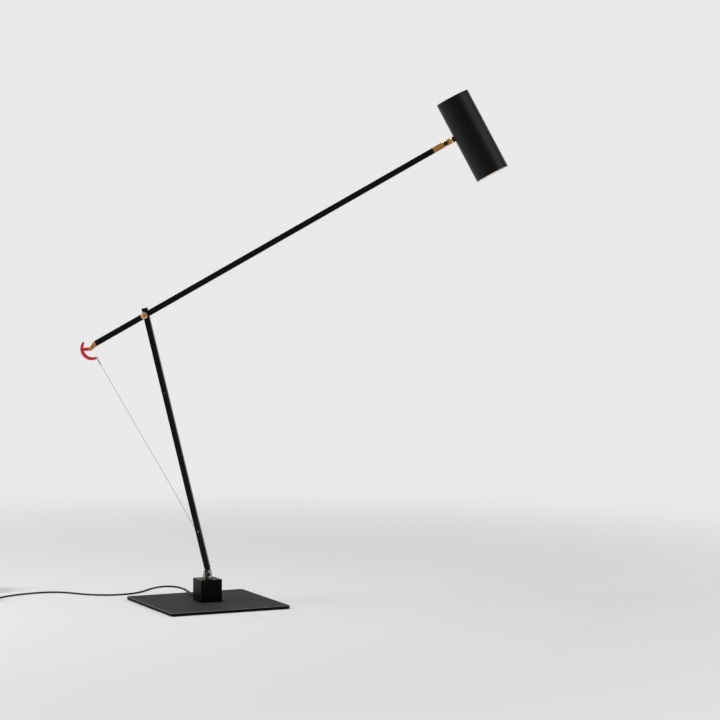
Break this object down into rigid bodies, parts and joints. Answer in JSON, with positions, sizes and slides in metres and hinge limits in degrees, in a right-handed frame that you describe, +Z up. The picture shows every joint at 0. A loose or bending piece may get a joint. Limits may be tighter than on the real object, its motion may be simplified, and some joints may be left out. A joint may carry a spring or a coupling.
{
  "type": "desk lamp",
  "caption": "Desk lamp with a square base plate and block, a leaning square stem, a long lapped arm, a tension wire on a red hook and a tubular spot shade.",
  "frame": {"origin": "middle of the base's underside, on the surface that the lamp stands on", "axes": "+Z up, +X the way the arm reaches, -Y the side of the thumb screw"},
  "size_m": [0.983, 0.3527, 0.9117],
  "materials": {
    "black_metal": "satin black powder coat",
    "black_tube": "black anodised, satin",
    "plate": "fine textured warm dark grey",
    "brass": "satin, lacquered",
    "bronze": "plain bearing bronze",
    "steel": "satin turned",
    "dark_steel": "blackened",
    "wire": "drawn",
    "aluminium": "machined",
    "red": "smooth red enamel",
    "black_plastic": "matte",
    "white_plastic": "matte white",
    "opal": "opal",
    "insulation": "smooth",
    "cord": "matte black",
    "felt": "felt"
  },
  "bodies": {
    "base": {"felt_pad": "felt", "base_plate": "plate", "base_block": "black_metal", "block_screws": "dark_steel", "swivel_bush": "bronze", "terminal_block": "white_plastic", "terminal_screws": "brass", "spindle_lead": "insulation", "cord_gland": "steel", "gland_nut": "steel", "cord_relief": "cord", "cord": "cord", "cord_coil": "cord", "supply_relief": "cord", "supply_housing": "black_plastic", "supply_pins": "steel"},
    "swivel": {"foot_fork": "steel", "swivel_washer": "steel", "swivel_nut": "steel", "foot_screw": "dark_steel", "foot_nut": "dark_steel"},
    "stem": {"stem_foot": "black_metal", "stem_tube": "black_tube", "stem_cap": "black_tube", "stem_sleeve": "steel", "wire_guide": "bronze", "wire_tail": "wire", "balance_spring": "wire", "spring_anchor": "steel", "stem_lead": "insulation", "friction_washer": "black_plastic", "bolt_washer": "brass", "bolt_nut": "brass"},
    "arm": {"arm_tube": "black_tube", "arm_sleeve": "steel", "arm_lead": "insulation", "tail_fork": "brass", "hook_pin": "brass", "wire_hook": "red", "tension_wire": "wire", "head_fork": "brass", "head_screw": "dark_steel", "head_nut": "dark_steel", "knob_washer": "brass"},
    "knob": {"thumb_screw": "brass"},
    "knuckle": {"head_tongue": "brass", "stud_washer": "steel", "stud_nut": "steel"},
    "shade": {"shade_tube": "black_tube", "shade_collar": "black_tube", "shade_cap": "black_tube", "cap_screws": "dark_steel", "switch_body": "black_plastic", "module_posts": "aluminium", "heat_sink": "aluminium", "lamp_board": "white_plastic", "shade_liner": "white_plastic", "lens": "opal", "lens_ring": "white_plastic"},
    "button": {"push_button": "black_plastic"}
  },
  "joints": [
    {"name": "base_turn", "type": "hinge", "parent": "base", "child": "swivel", "pos_m": [0, 0, 0.05], "axis": [0, 0, 1], "range_deg": [-170, 170]},
    {"name": "stem_tilt", "type": "hinge", "parent": "swivel", "child": "stem", "pos_m": [0.0026, 0, 0.054], "axis": [0, 1, 0], "range_deg": [-35, 45]},
    {"name": "arm_tilt", "type": "hinge", "parent": "stem", "child": "arm", "pos_m": [-0.10874, -0.011, 0.51422], "axis": [0, -1, 0], "range_deg": [-25, 25], "deforming": ["tension_wire"]},
    {"name": "knob_turn", "type": "hinge", "parent": "arm", "child": "knob", "pos_m": [-0.10874, -0.011, 0.51422], "axis": [0, -1, 0], "range_deg": [-180, 180]},
    {"name": "head_tilt", "type": "hinge", "parent": "arm", "child": "knuckle", "pos_m": [0.426, -0.011, 0.818], "axis": [0, -1, 0], "range_deg": [-75, 75]},
    {"name": "head_turn", "type": "hinge", "parent": "knuckle", "child": "shade", "pos_m": [0.426, -0.011, 0.818], "axis": [0.8813, 0, 0.4726], "range_deg": [-90, 90]},
    {"name": "button_press", "type": "slide", "parent": "shade", "child": "button", "axis": [0.4726, 0, -0.8813], "range_m": [0, 0.0015], "stiffness_N_per_m": 300, "springref_m": -0.002}
  ]
}
